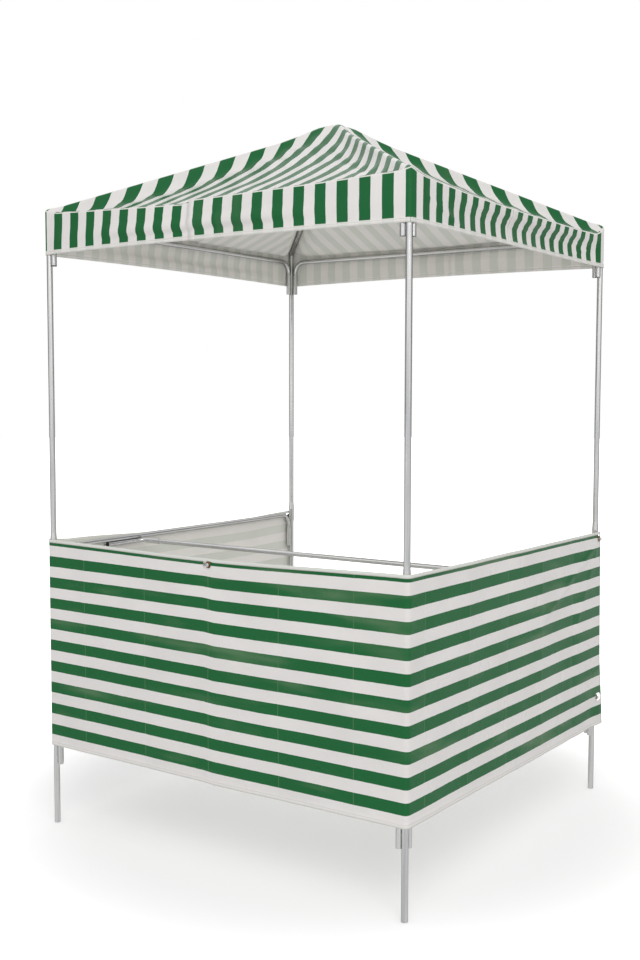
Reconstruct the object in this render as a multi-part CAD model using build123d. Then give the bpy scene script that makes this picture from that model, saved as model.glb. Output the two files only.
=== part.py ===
from build123d import *
import os
from math import atan, cos, hypot, sin, sqrt

# Knock-down market stall of plated steel tube with a striped sheet roof and skirt.
# Millimetres, +Z up, origin on the ground at the centre of the plan.
# The customer side faces -Y and the open serving side faces +Y.

# Plan, between the post axes
stall_width = 1500.0
stall_depth = 1500.0

# Tube sizes
post_diameter = 21.3
post_bore = 17.8
rail_diameter = 17.2
rail_wall = 1.5
slip = 0.3
seat = 0.3
end_round = 0.6

# Sockets welded beside the posts, in which the bent rails stand
socket_wall = 1.1
socket_length = 85.0
socket_weld_gap = 0.6
weld_radius = 3.5
weld_root = 0.9
rail_insertion = 75.0
bottom_socket_base = 225.0
counter_socket_base = 888.0
top_socket_base = 2060.0

# Bent rails, all of one pattern
rail_rise = 60.0
rail_bend_radius = 50.0

# Joint of the lower and upper post
joint_height = 1090.0
flare_length = 32.0
sleeve_length = 55.0
sleeve_wall = 1.5
post_top_above_sockets = 6.0

# Hip rafters and the hub at the peak
stub_insertion = 60.0
rafter_overhang = 4.0
rafter_weld_radius = 10.4
hub_diameter = 33.7
hub_wall = 2.0
hub_length = 52.0
hub_cap_rise = 5.0
spigot_length = 90.0
spigot_insertion = 70.0

# Bar across the stall under the counter rails
bar_setback = 470.0
bar_sleeve_length = 66.0
bar_sleeve_diameter = 21.3
bar_insertion = 42.0
arm_length = 190.0
arm_bend_radius = 30.0
plug_head_length = 3.0
plug_stem_length = 18.0
plug_stem_diameter = 3.0
plug_depth = 16.0

# Headed pins and the eyelets that hang on them
pin_reach = 26.0
pin_diameter = 10.0
pin_head_diameter = 13.0
pin_head_length = 3.0
eyelet_hole = 14.0
eyelet_flange = 24.0
eyelet_wall = 1.0
upper_pin_height = 1022.0
lower_pin_height = 378.0

# Striped sheet
sheet = 2.5
panel_gap = 0.2
eave_height = 2257.0
peak_height = 2604.0
valance_drop = 160.0
roof_sag = (2.0, 42.0, 58.0, 55.0)
roof_steps = (0.065, 0.28, 0.52, 0.78)
skirt_top = 1065.0
skirt_top_dip = 12.0
skirt_bottom = 293.0
skirt_tail = 26.0

# Derived sizes
post_radius = post_diameter / 2
rail_radius = rail_diameter / 2
rail_bore = rail_diameter - 2 * rail_wall
spigot_diameter = post_bore - 2 * slip
spigot_bore = spigot_diameter - 2 * rail_wall
socket_bore = rail_diameter + 2 * slip
socket_radius = socket_bore / 2 + socket_wall
socket_offset = post_radius + socket_weld_gap + socket_radius
half_width = stall_width / 2
half_depth = stall_depth / 2
bottom_rail_height = bottom_socket_base + socket_length + rail_rise
counter_rail_height = counter_socket_base + socket_length + rail_rise
top_rail_height = top_socket_base + socket_length + rail_rise
post_top = top_socket_base + socket_length + post_top_above_sockets
sleeve_bore = post_diameter + 2 * slip
sleeve_radius = sleeve_bore / 2 + sleeve_wall
sleeve_top = joint_height - flare_length
sleeve_low = sleeve_top - sleeve_length
skirt_inset = sleeve_radius + seat + eyelet_wall + panel_gap
canopy_inset = post_radius + seat
canopy_half_width = half_width + canopy_inset + sheet
canopy_half_depth = half_depth + canopy_inset + sheet
bar_height = counter_rail_height - rail_diameter - seat
pin_heights = (lower_pin_height, upper_pin_height)

corners = {
    "front_left": (-1, -1),
    "front_right": (1, -1),
    "back_right": (1, 1),
    "back_left": (-1, 1),
}


def save(part, name):
    part.label = name
    export_step(part, f"parts/{name}.step")


def upright(x, y, low, high, radius):
    height = high - low
    return Pos(x, y, low + height / 2) * Cylinder(radius, height)


def tube_along(path, diameter, bore):
    start = Plane(origin=path @ 0, z_dir=path % 0)
    ring = start * (Circle(diameter / 2) - Circle(bore / 2))
    return sweep(ring, path=path)


def rod_along(path, diameter):
    start = Plane(origin=path @ 0, z_dir=path % 0)
    return sweep(start * Circle(diameter / 2), path=path)


# A post carries sockets only on its sides that face a rail at that level
def socket_places(sides, base, along_x):
    side_x, side_y = sides
    x = side_x * half_width
    y = side_y * half_depth
    places = [(x, y - side_y * socket_offset, base)]
    if along_x:
        places.append((x - side_x * socket_offset, y, base))
    return places


# One round weld joins a socket to its post, rooted in both walls and clear of both bores
def socket_bodies(post_x, post_y, places):
    bodies = []
    weld_start = post_radius - weld_root
    weld_end = post_radius + socket_weld_gap + weld_root
    for x, y, base in places:
        bodies.append(upright(x, y, base, base + socket_length, socket_radius))
        direction = (x - post_x, y - post_y, 0)
        frame = Plane(origin=(post_x, post_y, base + socket_length / 2), z_dir=direction)
        weld = Cylinder(weld_radius, weld_end - weld_start)
        bodies.append(frame * Pos(0, 0, (weld_start + weld_end) / 2) * weld)
    return bodies


def socket_holes(places):
    return [
        upright(x, y, base - 1, base + socket_length + 1, socket_bore / 2)
        for x, y, base in places
    ]


def headed_pin(x, y, z, direction, root, reach):
    frame = Plane(origin=(x, y, z), z_dir=direction)
    shank_length = reach - pin_head_length - root
    shank = Pos(0, 0, root + shank_length / 2) * Cylinder(pin_diameter / 2, shank_length)
    head = Pos(0, 0, reach - pin_head_length / 2) * Cylinder(pin_head_diameter / 2, pin_head_length)
    head = fillet(head.edges().group_by(Axis.Z)[-1], pin_head_length * 0.6)
    return frame * (shank + head)


def lower_post(sides):
    side_x, side_y = sides
    x = side_x * half_width
    y = side_y * half_depth
    top = sleeve_top - seat
    places = socket_places(sides, bottom_socket_base, True)
    places += socket_places(sides, counter_socket_base, side_y < 0)
    body = upright(x, y, 0, top, post_radius)
    body = fillet(body.edges().filter_by(GeomType.CIRCLE), end_round)
    for piece in socket_bodies(x, y, places):
        body += piece
    if side_y > 0:
        for height in pin_heights:
            if height < sleeve_low:
                body += headed_pin(x, y, height, (side_x, 0, 0), post_bore / 2, pin_reach)
    for hole in socket_holes(places):
        body -= hole
    return body - upright(x, y, -1, top + 1, post_bore / 2)


# The lower end of the upper post is swelled out to slip over the lower post
def upper_post(sides):
    side_x, side_y = sides
    x = side_x * half_width
    y = side_y * half_depth
    outline = Polyline(
        (sleeve_bore / 2, sleeve_low),
        (sleeve_radius, sleeve_low),
        (sleeve_radius, sleeve_top),
        (post_radius, joint_height),
        (post_radius, post_top),
        (post_bore / 2, post_top),
        (post_bore / 2, joint_height),
        (sleeve_bore / 2, sleeve_top),
        close=True,
    )
    tube = revolve(Plane.XZ * make_face(outline), Axis.Z)
    places = socket_places(sides, top_socket_base, True)
    body = Pos(x, y, 0) * tube
    if side_y > 0:
        for height in pin_heights:
            if height > joint_height:
                body += headed_pin(x, y, height, (side_x, 0, 0), post_bore / 2, pin_reach)
            elif height > sleeve_low:
                root = sleeve_bore / 2 + sleeve_wall / 2
                body += headed_pin(x, y, height, (side_x, 0, 0), root, pin_reach)
    for piece in socket_bodies(x, y, places):
        body += piece
    for hole in socket_holes(places):
        body -= hole
    return body - upright(x, y, joint_height + 1, post_top + 1, post_bore / 2)


def rail(axis, line_place, base, span):
    low = base + socket_length - rail_insertion
    height = base + socket_length + rail_rise
    reach = span / 2 - socket_offset

    def at(along, z):
        if axis == "x":
            return (along, line_place, z)
        return (line_place, along, z)

    path = FilletPolyline(
        at(-reach, low),
        at(-reach, height),
        at(reach, height),
        at(reach, low),
        radius=rail_bend_radius,
    )
    return tube_along(path, rail_diameter, rail_bore)


# Roof surface: straight hips, and faces that hang in a shallow arc between them
def hip_height(share):
    return eave_height + (1 - share) * (peak_height - eave_height)


def eave_sag():
    rail_top = top_rail_height + rail_radius
    return eave_height - (rail_top + seat + sheet)


def roof_section(along, half_span, top, sag):
    low = top - sheet
    edge = half_span - panel_gap
    upper = ThreePointArc((-edge, top), (0, top - sag), (edge, top))
    right = Line((edge, top), (edge, low))
    lower = ThreePointArc((edge, low), (0, low - sag), (-edge, low))
    left = Line((-edge, low), (-edge, top))
    face = make_face([upper, right, lower, left])
    return Plane(origin=(0, along, 0), x_dir=(1, 0, 0), z_dir=(0, -1, 0)) * face


def roof_panel(half_span, half_run):
    shares = roof_steps + (1.0,)
    sags = roof_sag + (eave_sag(),)
    sections = []
    for share, sag in zip(shares, sags):
        sections.append(roof_section(-share * half_run, share * half_span, hip_height(share), sag))
    return loft(sections, ruled=True)


def turned(part, quarter_turns):
    return Rot(0, 0, 90 * quarter_turns) * part


# Each valance stops short at its left end, behind the face of the one beside it
def valance(half_span, half_run):
    sag = eave_sag()
    top = eave_height - sheet - panel_gap
    low = eave_height - valance_drop
    edge = half_span - panel_gap
    upper = ThreePointArc((-edge, top), (0, top - sag), (edge, top))
    right = Line((edge, top), (edge, low))
    lower = Line((edge, low), (-edge, low))
    left = Line((-edge, low), (-edge, top))
    face = make_face([upper, right, lower, left])
    face -= Pos(-edge, eave_height) * Rectangle(2 * (sheet + panel_gap), 2 * valance_drop + 2)
    plane = Plane(origin=(0, -half_run, 0), x_dir=(1, 0, 0), z_dir=(0, -1, 0))
    return extrude(plane * face, amount=-sheet)


def canopy_peak():
    share = roof_steps[0]
    half_span = share * canopy_half_width - panel_gap
    half_run = share * canopy_half_depth - panel_gap
    crown = hub_diameter / 2
    low = hip_height(share) - sheet
    inner = Wedge(
        2 * half_span,
        peak_height - sheet - low,
        2 * half_run,
        half_span - crown,
        half_run - crown,
        half_span + crown,
        half_run + crown,
        align=(Align.CENTER, Align.MIN, Align.CENTER),
    )
    inner = Pos(0, 0, low) * Rot(90, 0, 0) * inner
    return Pos(0, 0, sheet) * inner - inner


# How many times further a round tube lies straight below a sloping sheet than at right angles to it
def sheet_slant(half_span, half_run):
    hang = max(2 * sag / share for share, sag in zip(roof_steps, roof_sag))
    across = hang / half_span
    along = (peak_height - eave_height + hang) / half_run
    return sqrt(1 + across**2 + along**2)


# Rafters lie parallel to the hips, far enough below that the sheet clears the round tube
def rafter_line():
    run = hypot(half_width, half_depth)
    sheet_run = hypot(canopy_half_width, canopy_half_depth)
    fall = (peak_height - eave_height) / sheet_run
    slant = max(
        sheet_slant(canopy_half_width, canopy_half_depth),
        sheet_slant(canopy_half_depth, canopy_half_width),
    )
    drop = (post_radius + seat) * slant
    foot = eave_height - sheet + fall * (sheet_run - run) - drop
    return run, fall, foot


def hub_height():
    run, fall, foot = rafter_line()
    return foot + run * fall


def hip_rafter(sides):
    side_x, side_y = sides
    x = side_x * half_width
    y = side_y * half_depth
    run, fall, foot = rafter_line()
    slope = atan(fall)
    length = run / cos(slope)
    direction = (-x / run * cos(slope), -y / run * cos(slope), sin(slope))
    frame = Plane(origin=(x, y, foot), z_dir=direction)
    spigot_start = hub_diameter / 2 + spigot_length - spigot_insertion
    tube_length = rafter_overhang + length - spigot_start
    middle = tube_length / 2 - rafter_overhang
    tube = frame * Pos(0, 0, middle) * Cylinder(post_radius, tube_length)
    hollow = frame * Pos(0, 0, middle) * Cylinder(post_bore / 2, tube_length + 2)
    stub_low = post_top - stub_insertion
    stub = upright(x, y, stub_low, foot, spigot_diameter / 2)
    weld = Pos(x, y, foot - post_radius) * Sphere(rafter_weld_radius)
    stub_hollow = upright(x, y, stub_low - 1, foot - post_radius, spigot_bore / 2)
    return tube + stub + weld - hollow - stub_hollow


def apex_hub():
    run, fall, foot = rafter_line()
    slope = atan(fall)
    centre = hub_height()
    top = peak_height - sheet - seat - hub_cap_rise
    low = top - hub_length
    body = upright(0, 0, low, top, hub_diameter / 2)
    hollow = upright(0, 0, low - 1, top - hub_wall, hub_diameter / 2 - hub_wall)
    cap = Pos(0, 0, top + hub_cap_rise / 2) * Cylinder(hub_diameter / 2, hub_cap_rise)
    cap = fillet(cap.edges().group_by(Axis.Z)[-1], hub_cap_rise * 0.8)
    body += cap
    bores = []
    for side_x, side_y in corners.values():
        across = side_x * half_width / run
        along = side_y * half_depth / run
        direction = (across * cos(slope), along * cos(slope), -sin(slope))
        frame = Plane(origin=(0, 0, centre), z_dir=direction)
        length = hub_diameter / 2 + spigot_length
        body += frame * Pos(0, 0, length / 2) * Cylinder(spigot_diameter / 2, length)
        start = hub_diameter / 2
        bore = Cylinder(spigot_bore / 2, length + 1 - start)
        bores.append(frame * Pos(0, 0, (start + length + 1) / 2) * bore)
    body -= hollow
    for bore in bores:
        body -= bore
    return body


# An arm lies under the side rail, turns inwards and ends in the sleeve of the bar
def bar_bracket(side):
    x = side * half_width
    y = -half_depth + bar_setback
    tongue = bar_sleeve_length - bar_insertion - slip
    sleeve_start = x - side * arm_bend_radius
    sleeve_middle = sleeve_start - side * bar_sleeve_length / 2
    path = FilletPolyline(
        (x, y - arm_length, bar_height),
        (x, y, bar_height),
        (sleeve_start - side * tongue, y, bar_height),
        radius=arm_bend_radius,
    )
    sleeve = Rot(0, 90, 0) * Cylinder(bar_sleeve_diameter / 2, bar_sleeve_length)
    body = rod_along(path, rail_diameter) + Pos(sleeve_middle, y, bar_height) * sleeve
    body -= rod_along(path, rail_bore)
    bore_length = bar_insertion + slip
    bore_middle = sleeve_start - side * (bar_sleeve_length - bore_length / 2)
    bore = Rot(0, 90, 0) * Cylinder(rail_radius + slip, bore_length)
    return body - Pos(bore_middle, y, bar_height) * bore


def arm_plug(side):
    x = side * half_width
    y = -half_depth + bar_setback - arm_length
    frame = Plane(origin=(x, y, bar_height), z_dir=(0, -1, 0))
    head = Pos(0, 0, plug_head_length / 2) * Cylinder(rail_radius, plug_head_length)
    head = fillet(head.edges().group_by(Axis.Z)[-1], plug_head_length * 0.6)
    body = Pos(0, 0, -plug_depth / 2) * Cylinder(rail_bore / 2 - slip, plug_depth)
    stem = Pos(0, 0, plug_head_length + plug_stem_length / 2)
    stem = stem * Cylinder(plug_stem_diameter / 2, plug_stem_length)
    return frame * Pos(0, 0, panel_gap) * (head + body + stem)


def cross_bar():
    reach = half_width - arm_bend_radius - bar_sleeve_length + bar_insertion
    y = -half_depth + bar_setback
    tube = Cylinder(rail_radius, 2 * reach) - Cylinder(rail_bore / 2, 2 * reach + 2)
    return Pos(0, y, bar_height) * Rot(0, 90, 0) * tube


# The skirt is one strip round three sides, drawn here as three flat panels
def skirt_panel(start, end, holes):
    middle = (start + end) / 2
    upper = ThreePointArc((start, skirt_top), (middle, skirt_top - skirt_top_dip), (end, skirt_top))
    right = Line((end, skirt_top), (end, skirt_bottom))
    lower = Line((end, skirt_bottom), (start, skirt_bottom))
    left = Line((start, skirt_bottom), (start, skirt_top))
    face = make_face([upper, right, lower, left])
    for along, height in holes:
        face -= Pos(along, height) * Circle(eyelet_hole / 2)
    return face


def front_skirt():
    reach = half_width + skirt_inset + sheet
    face = skirt_panel(-reach, reach, [(0, counter_rail_height)])
    plane = Plane(origin=(0, -half_depth - skirt_inset, 0), x_dir=(1, 0, 0), z_dir=(0, -1, 0))
    return extrude(plane * face, amount=sheet)


def side_skirt(side):
    start = -half_depth - skirt_inset + panel_gap
    end = half_depth + skirt_tail
    holes = [(half_depth, height) for height in pin_heights]
    face = skirt_panel(start, end, holes)
    plane = Plane(origin=(side * (half_width + skirt_inset), 0, 0), x_dir=(0, 1, 0), z_dir=(1, 0, 0))
    return extrude(plane * face, amount=side * sheet)


# Eyelet ring: a barrel through the sheet with a rolled flange on each face
def eyelet(origin, direction):
    barrel = eyelet_hole / 2 - panel_gap
    bore = barrel - eyelet_wall
    flange = eyelet_flange / 2
    face_gap = panel_gap
    outline = Polyline(
        (bore, -face_gap - eyelet_wall),
        (flange, -face_gap - eyelet_wall),
        (flange, -face_gap),
        (barrel, -face_gap),
        (barrel, sheet + face_gap),
        (flange, sheet + face_gap),
        (flange, sheet + face_gap + eyelet_wall),
        (bore, sheet + face_gap + eyelet_wall),
        close=True,
    )
    ring = revolve(Plane.XZ * make_face(outline), Axis.Z)
    return Plane(origin=origin, z_dir=direction) * ring


def side_eyelets(side):
    x = side * (half_width + skirt_inset)
    rings = [
        eyelet((x, half_depth, height), (side, 0, 0))
        for height in pin_heights
    ]
    return Compound(children=rings)


os.makedirs("parts", exist_ok=True)

for name, sides in corners.items():
    save(lower_post(sides), f"lower_post_{name}")
    save(upper_post(sides), f"upper_post_{name}")
    save(hip_rafter(sides), f"hip_rafter_{name}")

levels = {
    "bottom": (bottom_socket_base, ("front", "right", "back", "left")),
    "counter": (counter_socket_base, ("front", "right", "left")),
    "top": (top_socket_base, ("front", "right", "back", "left")),
}
walls = {
    "front": ("x", -half_depth, stall_width),
    "right": ("y", half_width, stall_depth),
    "back": ("x", half_depth, stall_width),
    "left": ("y", -half_width, stall_depth),
}
for level, (base, sides_used) in levels.items():
    for side_name in sides_used:
        axis, place, span = walls[side_name]
        bent_rail = rail(axis, place, base, span)
        if level == "counter" and side_name == "front":
            root = rail_bore / 2 + 0.5
            bent_rail += headed_pin(0, place, counter_rail_height, (0, -1, 0), root, pin_reach)
        save(bent_rail, f"{level}_rail_{side_name}")

save(apex_hub(), "apex_hub")
save(cross_bar(), "cross_bar")
for side_name, side in (("left", -1), ("right", 1)):
    save(bar_bracket(side), f"bar_bracket_{side_name}")
    save(arm_plug(side), f"arm_plug_{side_name}")
    save(side_skirt(side), f"skirt_{side_name}")
    save(side_eyelets(side), f"eyelets_{side_name}")

save(front_skirt(), "skirt_front")
save(
    eyelet((0, -half_depth - skirt_inset, counter_rail_height), (0, -1, 0)),
    "eyelet_front",
)

for turn, side_name in enumerate(("front", "right", "back", "left")):
    spans = (canopy_half_width, canopy_half_depth)
    half_span, half_run = spans if turn % 2 == 0 else spans[::-1]
    save(turned(roof_panel(half_span, half_run), turn), f"canopy_{side_name}")
    save(turned(valance(half_span, half_run), turn), f"valance_{side_name}")
save(canopy_peak(), "canopy_peak")
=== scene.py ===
"""Looks of a knock-down market stall: plated steel tube under a striped sheet roof and skirt.

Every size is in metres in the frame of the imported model: +Z up, the customer side faces -Y.
"""

import logging
import math
from dataclasses import dataclass, field
from enum import Enum

import bmesh
import bpy
from mathutils import Matrix, Vector, noise


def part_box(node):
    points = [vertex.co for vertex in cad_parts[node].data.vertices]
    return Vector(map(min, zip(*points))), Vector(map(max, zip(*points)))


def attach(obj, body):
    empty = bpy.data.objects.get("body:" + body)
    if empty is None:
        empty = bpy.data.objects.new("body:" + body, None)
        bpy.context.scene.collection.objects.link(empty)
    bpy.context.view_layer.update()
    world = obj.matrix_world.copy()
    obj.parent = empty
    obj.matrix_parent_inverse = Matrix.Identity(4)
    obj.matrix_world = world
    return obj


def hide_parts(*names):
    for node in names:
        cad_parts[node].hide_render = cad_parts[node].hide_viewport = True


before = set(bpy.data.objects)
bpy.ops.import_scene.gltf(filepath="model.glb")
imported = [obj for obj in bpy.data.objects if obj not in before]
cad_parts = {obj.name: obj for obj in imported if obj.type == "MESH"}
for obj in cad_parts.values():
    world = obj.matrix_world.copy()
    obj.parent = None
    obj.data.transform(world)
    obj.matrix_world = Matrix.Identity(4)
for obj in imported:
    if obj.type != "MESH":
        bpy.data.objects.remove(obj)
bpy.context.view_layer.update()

log = logging.getLogger("market_stall")

Points = tuple[tuple[float, float], ...]

# Sockets of a mix node that holds colours: its share, its two colours and its result
SHARE, FIRST, SECOND, MIXED = 0, 6, 7, 2


class Run(Enum):
    """The way a tube runs, which is the way its drawing marks run."""

    ALONG_X = (1, 0, 0)
    ALONG_Y = (0, 1, 0)
    ALONG_Z = (0, 0, 1)


class Hang(Enum):
    STRETCHED = "stretched"
    HUNG = "hung"


def hex_to_linear(code: str) -> tuple[float, float, float, float]:
    """Turns an sRGB hex colour into the linear colour that a node takes.

    Args:
        code: colour such as "#2A6B3C".

    Returns:
        Red, green, blue and alpha.
    """
    channels = [int(code[start:start + 2], 16) / 255 for start in (1, 3, 5)]
    linear = [c / 12.92 if c <= 0.04045 else ((c + 0.055) / 1.055) ** 2.4 for c in channels]
    return (linear[0], linear[1], linear[2], 1.0)


def add_node(
    tree: bpy.types.NodeTree, kind: str, inputs: dict | None = None, out: int | str = 0, **settings: object
) -> bpy.types.NodeSocket | None:
    """Adds one node with its settings, values and links.

    Args:
        tree: node tree that gets the node.
        kind: Blender's name of the node type, without "ShaderNode".
        inputs: values for sockets by name or number, or the socket that feeds them.
        out: the output that is returned, by name or number.
        settings: values of the node's own properties.

    Returns:
        That output, or None from a node that has no outputs.
    """
    node = tree.nodes.new(f"ShaderNode{kind}")
    for name, value in settings.items():
        setattr(node, name, value)
    for socket, value in (inputs or {}).items():
        if isinstance(value, bpy.types.NodeSocket):
            tree.links.new(value, node.inputs[socket])
        else:
            node.inputs[socket].default_value = value
    return node.outputs[out] if node.outputs else None


def new_material(name: str) -> tuple[bpy.types.Material, bpy.types.NodeTree]:
    """Makes an empty node material.

    Args:
        name: the material's plain name.

    Returns:
        The material and its node tree, without nodes.
    """
    material = bpy.data.materials.new(name)
    material.use_nodes = True
    material.node_tree.nodes.clear()
    return material, material.node_tree


def printed_stripes(
    tree: bpy.types.NodeTree, across: bpy.types.NodeSocket, pitch_mm: float, stripe_mm: float
) -> bpy.types.NodeSocket:
    """Draws stripes that start at each whole pitch.

    Args:
        tree: the material's node tree.
        across: metres across the stripes.
        pitch_mm: distance from one stripe to the next.
        stripe_mm: width of a stripe.

    Returns:
        A socket that is 1 on a stripe and 0 between stripes.
    """
    turns = add_node(tree, "Math", {0: across, 1: pitch_mm / 1000}, operation="DIVIDE")
    phase = add_node(tree, "Math", {0: turns}, operation="FRACT")
    return add_node(tree, "Math", {0: phase, 1: stripe_mm / pitch_mm}, operation="LESS_THAN")


def smooth_step(value: float) -> float:
    """Eases a value from 0 to 1, flat at both ends."""
    held = min(max(value, 0.0), 1.0)
    return held * held * (3 - 2 * held)


def height_at(points: Points, place: float, ease: bool = True) -> float:
    """Reads a height from a few stations.

    Args:
        points: pairs of place and height, in rising order of place.
        place: where to read.
        ease: whether the line between two stations is eased, flat at both, or straight.

    Returns:
        The height there, held level past both ends.
    """
    if place <= points[0][0]:
        return points[0][1]
    for (start, low), (end, high) in zip(points, points[1:]):
        if place <= end:
            share = (place - start) / (end - start)
            return low + (high - low) * (smooth_step(share) if ease else share)
    return points[-1][1]


def finished_object(name: str, shape: bmesh.types.BMesh, materials: list) -> bpy.types.Object:
    """Turns a finished shape into an object at the origin.

    Args:
        name: the piece's plain name.
        shape: the finished shape, which is freed.
        materials: the materials of its slots, in order.

    Returns:
        The linked object.
    """
    mesh = bpy.data.meshes.new(name)
    shape.to_mesh(mesh)
    shape.free()
    for material in materials:
        mesh.materials.append(material)
    mesh.shade_smooth()
    piece = bpy.data.objects.new(name, mesh)
    bpy.context.scene.collection.objects.link(piece)
    return piece


def lay_grid(shape: bmesh.types.BMesh, columns: int, rows: int) -> dict[bmesh.types.BMVert, tuple[int, int]]:
    """Adds a flat grid to a shape.

    Args:
        shape: the shape that gets the grid.
        columns: number of upright lines of corners.
        rows: number of level lines of corners.

    Returns:
        The column and the row of each corner, from the left and from below.
    """
    grid = bmesh.ops.create_grid(shape, x_segments=columns - 1, y_segments=rows - 1, size=1.0)
    return {
        vertex: (round((vertex.co.x + 1) / 2 * (columns - 1)), round((vertex.co.y + 1) / 2 * (rows - 1)))
        for vertex in grid["verts"]
    }


def add_thickness(piece: bpy.types.Object, thickness: float) -> None:
    """Gives a sheet its thickness, inwards, with its own finish on the inner face.

    Args:
        piece: the sheet, with two outer finishes followed by two inner ones.
        thickness: thickness of the cloth.
    """
    wall = piece.modifiers.new("thickness", "SOLIDIFY")
    wall.thickness = thickness
    wall.offset = -1.0
    wall.material_offset = 2
    wall.material_offset_rim = 1


@dataclass(frozen=True)
class StripedSheet:
    """Coated sheet woven of flat plastic tape, printed with stripes.

    The coating gives a soft gloss that pales at a flat angle, the tape a fine square relief, and
    folding and handling a shallow crumple. The "Stripe" map holds metres across the stripes, with
    a green one starting at each whole pitch, and metres along them.
    """

    name: str
    ground: str = "#E4E1DF"
    stripe: str = "#1F6538"
    # Pale olive tone of the painted sheen and the painted highlight lines on the green print
    painted_sheen: str = "#93A486"
    pitch_mm: float = 80.0
    stripe_mm: float = 40.0
    waver_mm: float = 1.2
    tape_mm: float = 3.0
    tape_relief_mm: float = 0.12
    crumple_mm: float = 90.0
    crumple_relief_mm: float = 2.4
    fold_mm: float = 0.0
    fold_line_mm: float = 2.0
    painted_sheen_share: float = 0.14
    roughness: float = 0.27
    shine: float = 0.5
    ior: float = 1.22

    def material(self) -> bpy.types.Material:
        """Makes the sheet's node material.

        Returns:
            The material.
        """
        material, tree = new_material(self.name)
        place = add_node(tree, "UVMap", uv_map="Stripe")
        across = add_node(tree, "SeparateXYZ", {0: place})
        along = across.node.outputs[1]
        # The edge of a printed stripe wanders by about half a millimetre to each side
        waver = add_node(tree, "TexNoise", {"Vector": place, "Scale": 45.0, "Detail": 1.0})
        wander = add_node(
            tree, "Math", {0: waver, 1: self.waver_mm / 1000, 2: across}, operation="MULTIPLY_ADD"
        )
        in_stripe = printed_stripes(tree, wander, self.pitch_mm, self.stripe_mm)
        # Painted sheen streaks and painted highlight lines along the folds pale the green print
        painted_sheen_mask = self.painted_sheen_mask(tree, place, along)
        tones = {SHARE: painted_sheen_mask, FIRST: hex_to_linear(self.stripe), SECOND: hex_to_linear(self.painted_sheen)}
        print_tone = add_node(tree, "Mix", tones, MIXED, data_type="RGBA")
        tones = {SHARE: in_stripe, FIRST: hex_to_linear(self.ground), SECOND: print_tone}
        colour = add_node(tree, "Mix", tones, MIXED, data_type="RGBA")
        # Handling leaves the tone and the gloss a little uneven over a hand's breadth
        spot = add_node(tree, "TexCoord", out="Object")
        tone = add_node(tree, "TexNoise", {"Vector": spot, "Scale": 5.0, "Detail": 3.0})
        spread = {"Value": tone, "From Min": 0.35, "From Max": 0.7, "To Min": 1.0, "To Max": 0.94}
        fade = add_node(tree, "MapRange", spread)
        tones = {SHARE: 1.0, FIRST: colour, SECOND: fade}
        toned = add_node(tree, "Mix", tones, MIXED, data_type="RGBA", blend_type="MULTIPLY")
        low, high = self.roughness - 0.05, self.roughness + 0.06
        spread = {"Value": tone, "From Min": 0.3, "From Max": 0.7, "To Min": low, "To Max": high}
        gloss = add_node(tree, "MapRange", spread)
        # Real tape is about 1.5 mm wide, drawn twice as coarse so that it shows
        weave = self.relief_of_tape(tree, across, along)
        relief = {"Strength": 0.35, "Distance": self.tape_relief_mm / 1000, "Height": weave}
        fine = add_node(tree, "Bump", relief)
        breadth = 1000 / self.crumple_mm
        crumple = add_node(tree, "TexNoise", {"Vector": spot, "Scale": breadth, "Detail": 2.5})
        relief = {"Strength": 0.20, "Distance": self.crumple_relief_mm / 1000, "Height": crumple}
        coarse = add_node(tree, "Bump", relief | {"Normal": fine})
        surface = add_node(tree, "BsdfPrincipled", {
            "Base Color": toned,
            "Roughness": gloss,
            "Specular IOR Level": self.shine,
            "IOR": self.ior,
            "Normal": coarse,
        })
        add_node(tree, "OutputMaterial", {0: surface})
        return material

    def painted_sheen_mask(
        self, tree: bpy.types.NodeTree, place: bpy.types.NodeSocket, along: bpy.types.NodeSocket
    ) -> bpy.types.NodeSocket:
        """Draws where the green print is painted paler: streaks of painted sheen, and painted highlight lines
        along the folds left by packing.

        Args:
            tree: the sheet's node tree.
            place: the stripe map.
            along: metres along the stripes.

        Returns:
            The socket that holds the share of the painted sheen tone.
        """
        slant = {"Vector": place, "Rotation": (0, 0, 0.12), "Scale": (9.0, 1.7, 1.0)}
        slanted = add_node(tree, "Mapping", slant)
        streaks = add_node(tree, "TexNoise", {"Vector": slanted, "Scale": 1.0, "Detail": 3.0})
        spread = {"Value": streaks, "From Min": 0.52, "From Max": 0.80, "To Max": self.painted_sheen_share}
        painted_sheen = add_node(tree, "MapRange", spread, interpolation_type="SMOOTHSTEP")
        if not self.fold_mm:
            return painted_sheen
        # Thin painted highlight lines along the packing folds
        beat = add_node(tree, "Math", {0: along, 1: self.fold_mm / 2 / 1000}, operation="PINGPONG")
        line = add_node(tree, "MapRange", {
            "Value": beat,
            "From Min": self.fold_line_mm / 2 / 1000,
            "From Max": self.fold_line_mm / 1000,
            "To Min": 0.6 * self.painted_sheen_share,
            "To Max": 0.0,
        })
        return add_node(tree, "Math", {0: painted_sheen, 1: line}, operation="MAXIMUM")

    def relief_of_tape(
        self, tree: bpy.types.NodeTree, across: bpy.types.NodeSocket, along: bpy.types.NodeSocket
    ) -> bpy.types.NodeSocket:
        """Draws the square relief of the woven tape.

        Args:
            tree: the sheet's node tree.
            across: metres across the stripes.
            along: metres along the stripes.

        Returns:
            The socket that holds the height.
        """
        waves = []
        for distance in (across, along):
            tapes = {0: distance, 1: 2 * math.pi * 1000 / self.tape_mm}
            turn = add_node(tree, "Math", tapes, operation="MULTIPLY")
            waves.append(add_node(tree, "Math", {0: turn}, operation="SINE"))
        return add_node(tree, "Math", {0: waves[0], 1: waves[1]}, operation="MULTIPLY")


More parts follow.
